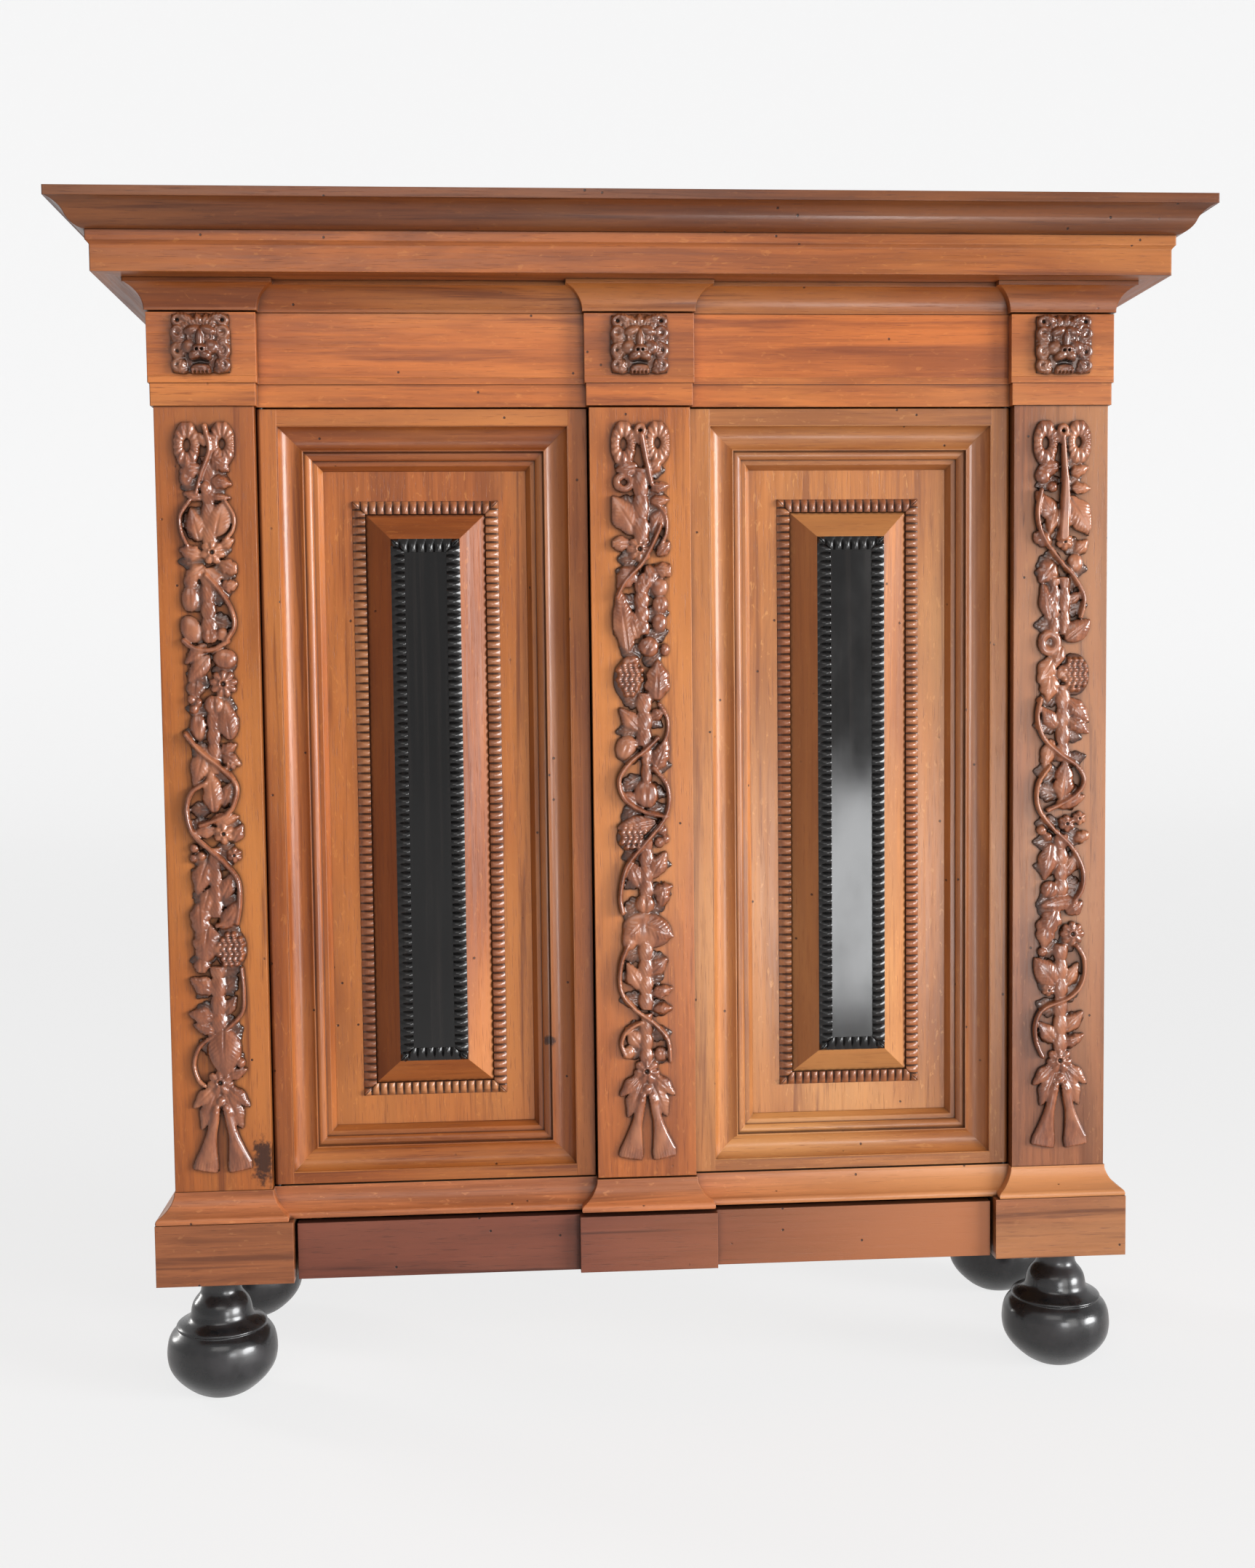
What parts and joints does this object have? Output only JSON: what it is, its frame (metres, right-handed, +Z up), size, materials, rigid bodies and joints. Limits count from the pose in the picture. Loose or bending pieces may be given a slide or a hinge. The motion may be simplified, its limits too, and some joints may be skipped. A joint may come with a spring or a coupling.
{
  "type": "two-door cupboard",
  "caption": "Tall oak cupboard on bun feet with cushion-panelled doors, carved pilasters, a drawer in the base and a wide moulded cornice.",
  "frame": {"origin": "on the floor, under the middle of the whole outline, which the cornice sets", "axes": "+X along the width to the viewer's right, -Y out of the front, +Z up"},
  "size_m": [2.07, 0.77, 2.221],
  "materials": {
    "oak": "waxed",
    "carved_oak": "polished",
    "stained_oak": "waxed",
    "ebony": "polished",
    "black_wood": "high gloss",
    "iron": "dark forged"
  },
  "bodies": {
    "cupboard": {"plinth_fronts": "oak", "plinth_sides": "oak", "plinth_back": "oak", "foot_blocks": "oak", "drawer_guides": "oak", "base_deck": "oak", "base_moulding": "oak", "front_posts": "oak", "rear_posts": "oak", "side_rails": "oak", "side_panels": "oak", "back_boards": "oak", "cupboard_floor": "oak", "shelves": "oak", "shelf_battens": "oak", "pilaster_left": "oak", "pilaster_right": "oak", "architrave": "oak", "frieze_boards": "oak", "frieze_blocks": "oak", "bed_moulding": "oak", "corona": "oak", "crown_moulding": "oak", "top_boards": "oak", "cornice_back_rail": "oak", "bolt_cleat": "oak", "festoon_left": "carved_oak", "festoon_right": "carved_oak", "frieze_masks": "carved_oak", "bun_feet": "black_wood", "pivot_sockets": "iron"},
    "door_left": {"door_left_frame": "oak", "door_left_moulding": "oak", "door_left_field": "oak", "door_left_cushion": "oak", "door_left_oak_ripple": "oak", "door_left_ebony_ripple": "ebony", "door_left_ebony_panel": "ebony", "door_left_pivots": "iron", "lock_keeper": "iron", "bolt_staples": "iron"},
    "door_right": {"door_right_frame": "oak", "door_right_moulding": "oak", "door_right_field": "oak", "door_right_cushion": "oak", "door_right_oak_ripple": "oak", "door_right_ebony_ripple": "ebony", "door_right_ebony_panel": "ebony", "door_right_pivots": "iron", "pilaster_centre": "oak", "festoon_centre": "carved_oak", "lock_case": "iron"},
    "drawer": {"drawer_front": "stained_oak", "drawer_block": "stained_oak", "drawer_box": "oak", "drawer_bottom": "oak"},
    "lock_bolt": {"lock_bolt": "iron"},
    "slide_bolt": {"slide_bolt": "iron"}
  },
  "joints": [
    {"name": "door_left_hinge", "type": "hinge", "parent": "cupboard", "child": "door_left", "pos_m": [-0.6965, -0.206, 0.4], "axis": [0, 0, -1], "range_deg": [0, 90]},
    {"name": "door_right_hinge", "type": "hinge", "parent": "cupboard", "child": "door_right", "pos_m": [0.6965, -0.206, 0.4], "axis": [0, 0, 1], "range_deg": [0, 90]},
    {"name": "drawer_slide", "type": "slide", "parent": "cupboard", "child": "drawer", "axis": [0, -1, 0], "range_m": [0, 0.4]},
    {"name": "lock_bolt_slide", "type": "slide", "parent": "door_right", "child": "lock_bolt", "axis": [-1, 0, 0], "range_m": [0, 0.028]},
    {"name": "slide_bolt_slide", "type": "slide", "parent": "door_left", "child": "slide_bolt", "axis": [0, 0, 1], "range_m": [0, 0.022]}
  ]
}
